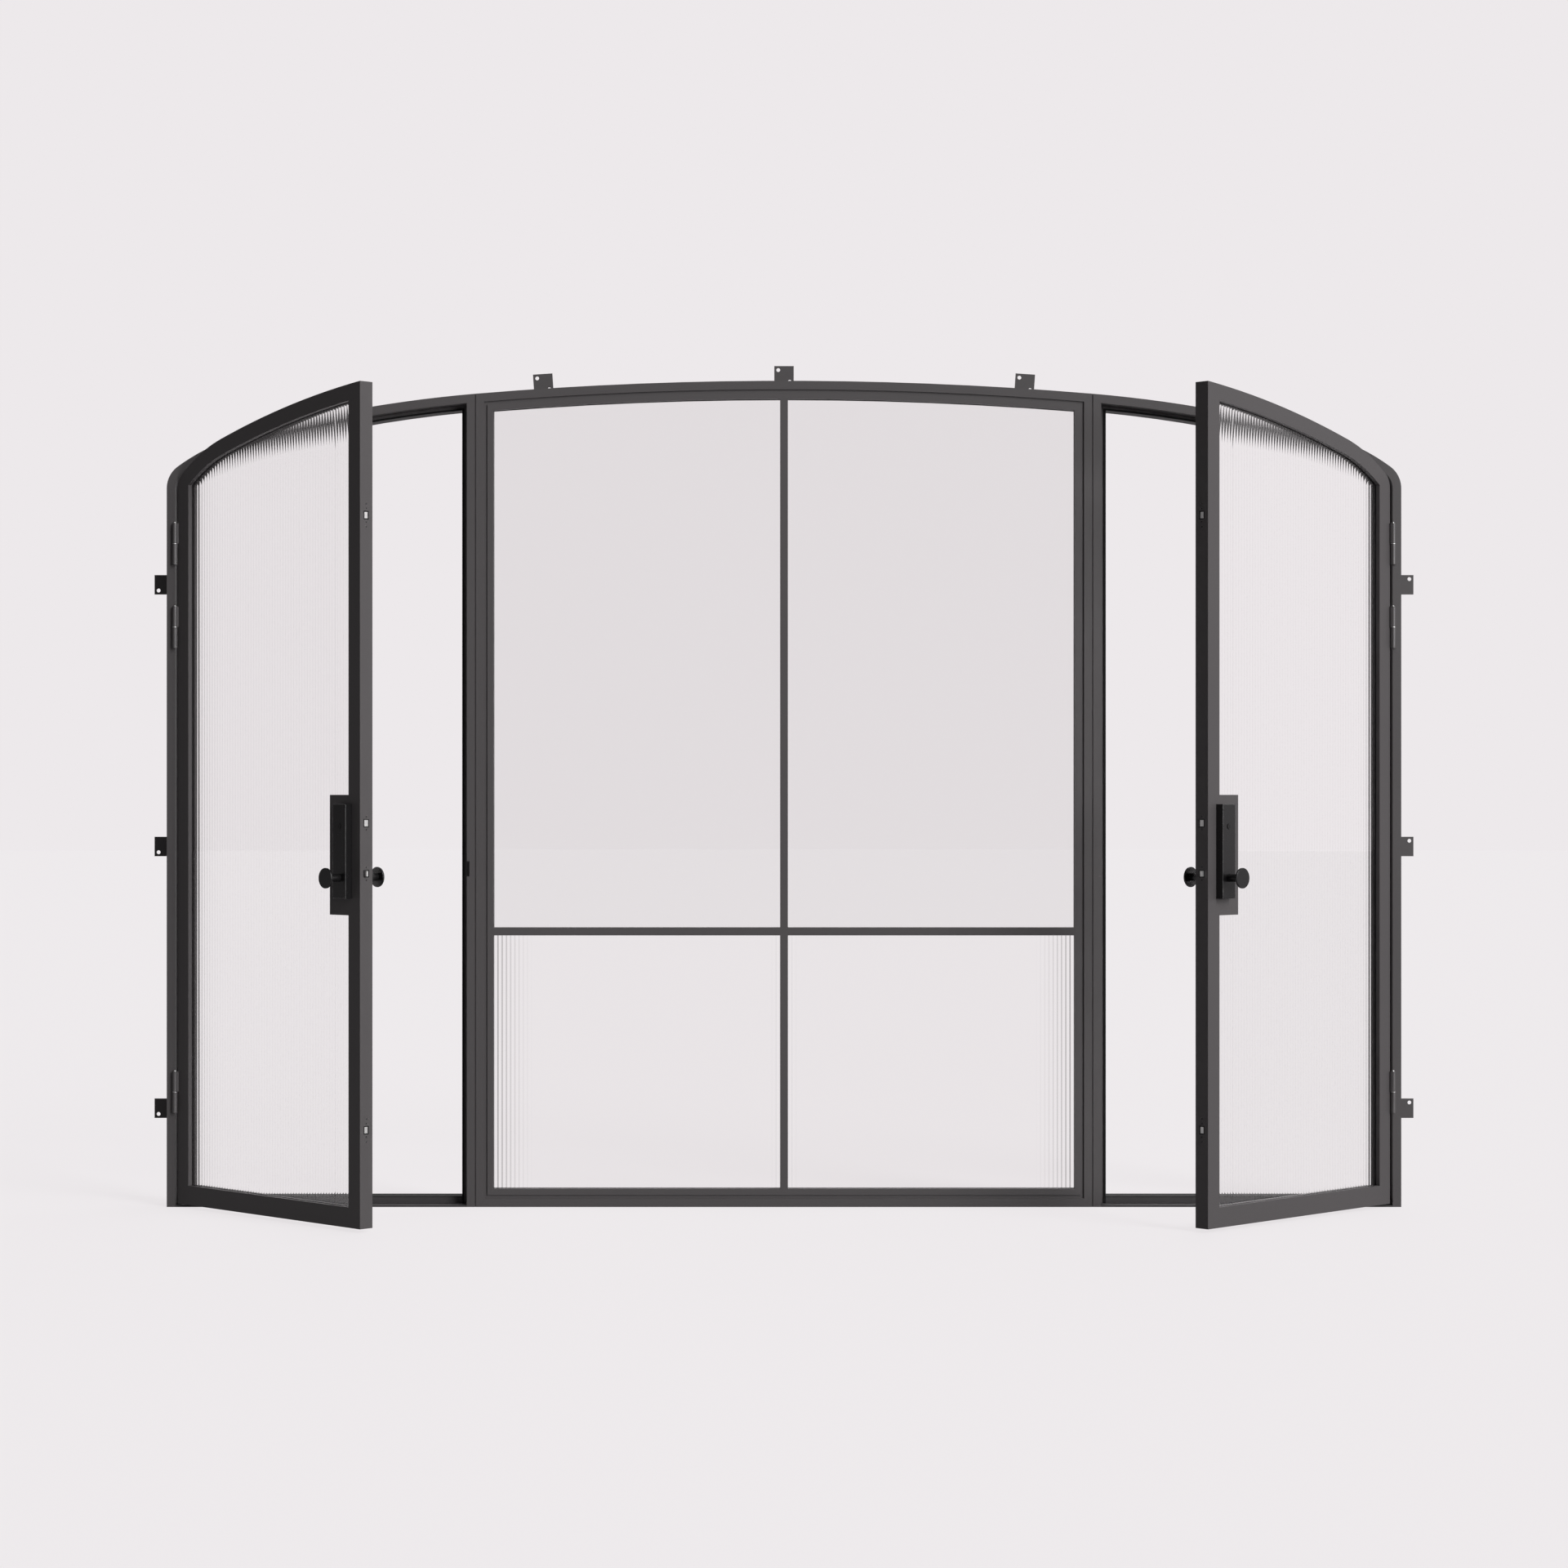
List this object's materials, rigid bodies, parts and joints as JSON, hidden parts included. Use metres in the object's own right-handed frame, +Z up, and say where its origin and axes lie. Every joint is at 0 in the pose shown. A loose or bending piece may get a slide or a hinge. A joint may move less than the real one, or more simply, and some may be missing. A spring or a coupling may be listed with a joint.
{
  "type": "arched steel double entry doors",
  "caption": "Arched steel entry with two hinged outward-opening glass doors either side of a fixed, barred centre light, in a welded frame with wall tabs.",
  "frame": {"origin": "middle of the sill underside, half way through the frame depth", "axes": "+X to the right seen from outside, -Y to the outside where the doors open, +Z up"},
  "size_m": [3.7756, 0.7515, 2.507],
  "materials": {
    "dark_paint": "satin powder coat",
    "clear_glass": "clear",
    "reeded_glass": "vertically reeded",
    "black_hardware": "gloss black",
    "bright_steel": "bright",
    "black_rubber": "matte"
  },
  "bodies": {
    "frame": {"centre_glazing_beads": "dark_paint", "centre_head": "dark_paint", "centre_sash": "dark_paint", "centre_sill": "dark_paint", "horizontal_bar": "dark_paint", "left_centre_post": "dark_paint", "left_door_seal": "black_rubber", "left_door_stop": "dark_paint", "left_frame_hinges": "dark_paint", "left_head": "dark_paint", "left_jamb": "dark_paint", "left_lower_pane": "reeded_glass", "left_post": "dark_paint", "left_sill": "dark_paint", "left_upper_pane": "clear_glass", "right_centre_post": "dark_paint", "right_door_seal": "black_rubber", "right_door_stop": "dark_paint", "right_frame_hinges": "dark_paint", "right_head": "dark_paint", "right_jamb": "dark_paint", "right_lower_pane": "reeded_glass", "right_post": "dark_paint", "right_sill": "dark_paint", "right_upper_pane": "clear_glass", "vertical_bar": "dark_paint", "wall_tabs": "dark_paint"},
    "left_door": {"left_bottom_rail": "dark_paint", "left_door_glass": "reeded_glass", "left_door_hinges": "dark_paint", "left_edge_catches": "bright_steel", "left_glazing_beads": "dark_paint", "left_hinge_stile": "dark_paint", "left_inner_plate": "black_hardware", "left_lock_box": "dark_paint", "left_lock_stile": "dark_paint", "left_outer_plate": "black_hardware", "left_top_rail": "dark_paint"},
    "left_knobs": {"left_knobs": "black_hardware"},
    "left_latch": {"left_latch_bolt": "bright_steel"},
    "left_deadbolt": {"left_deadbolt": "bright_steel"},
    "left_thumb_turn": {"left_thumb_turn": "black_hardware"},
    "right_door": {"right_bottom_rail": "dark_paint", "right_door_glass": "reeded_glass", "right_door_hinges": "dark_paint", "right_edge_catches": "bright_steel", "right_glazing_beads": "dark_paint", "right_hinge_stile": "dark_paint", "right_inner_plate": "black_hardware", "right_lock_box": "dark_paint", "right_lock_stile": "dark_paint", "right_outer_plate": "black_hardware", "right_top_rail": "dark_paint"},
    "right_knobs": {"right_knobs": "black_hardware"},
    "right_latch": {"right_latch_bolt": "bright_steel"},
    "right_deadbolt": {"right_deadbolt": "bright_steel"},
    "right_thumb_turn": {"right_thumb_turn": "black_hardware"}
  },
  "joints": [
    {"name": "left_door_swing", "type": "hinge", "parent": "frame", "child": "left_door", "pos_m": [-1.8034, -0.0715, 1.2], "axis": [0, 0, -1], "range_deg": [-44, 66]},
    {"name": "left_knob_turn", "type": "hinge", "parent": "left_door", "child": "left_knobs", "pos_m": [-1.1838, -0.57044, 0.99], "axis": [0.6947, 0.7193, 0], "range_deg": [0, 60], "stiffness_Nm_per_rad": 0.3},
    {"name": "left_latch_slide", "type": "slide", "parent": "left_door", "child": "left_latch", "axis": [-0.7193, 0.6947, 0], "range_m": [0, 0.0105]},
    {"name": "left_thumb_turn", "type": "hinge", "parent": "left_door", "child": "left_thumb_turn", "pos_m": [-1.1838, -0.57044, 1.134], "axis": [0.6947, 0.7193, 0], "range_deg": [0, 92]},
    {"name": "left_deadbolt_slide", "type": "slide", "parent": "left_door", "child": "left_deadbolt", "axis": [0.7193, -0.6947, 0], "range_m": [0, 0.02]},
    {"name": "right_door_swing", "type": "hinge", "parent": "frame", "child": "right_door", "pos_m": [1.8034, -0.0715, 1.2], "axis": [0, 0, 1], "range_deg": [-44, 66]},
    {"name": "right_knob_turn", "type": "hinge", "parent": "right_door", "child": "right_knobs", "pos_m": [1.1838, -0.57044, 0.99], "axis": [-0.6947, 0.7193, 0], "range_deg": [0, 60], "stiffness_Nm_per_rad": 0.3},
    {"name": "right_latch_slide", "type": "slide", "parent": "right_door", "child": "right_latch", "axis": [0.7193, 0.6947, 0], "range_m": [0, 0.0105]},
    {"name": "right_thumb_turn", "type": "hinge", "parent": "right_door", "child": "right_thumb_turn", "pos_m": [1.1838, -0.57044, 1.134], "axis": [-0.6947, 0.7193, 0], "range_deg": [0, 92]},
    {"name": "right_deadbolt_slide", "type": "slide", "parent": "right_door", "child": "right_deadbolt", "axis": [-0.7193, -0.6947, 0], "range_m": [0, 0.02]}
  ],
  "couplings": [
    {"joint": "left_latch_slide", "follows": "left_knob_turn", "m_per_rad": 0.009549},
    {"joint": "left_thumb_turn", "follows": "left_deadbolt_slide", "rad_per_m": 78.54},
    {"joint": "right_latch_slide", "follows": "right_knob_turn", "m_per_rad": 0.009549},
    {"joint": "right_thumb_turn", "follows": "right_deadbolt_slide", "rad_per_m": 78.54}
  ]
}
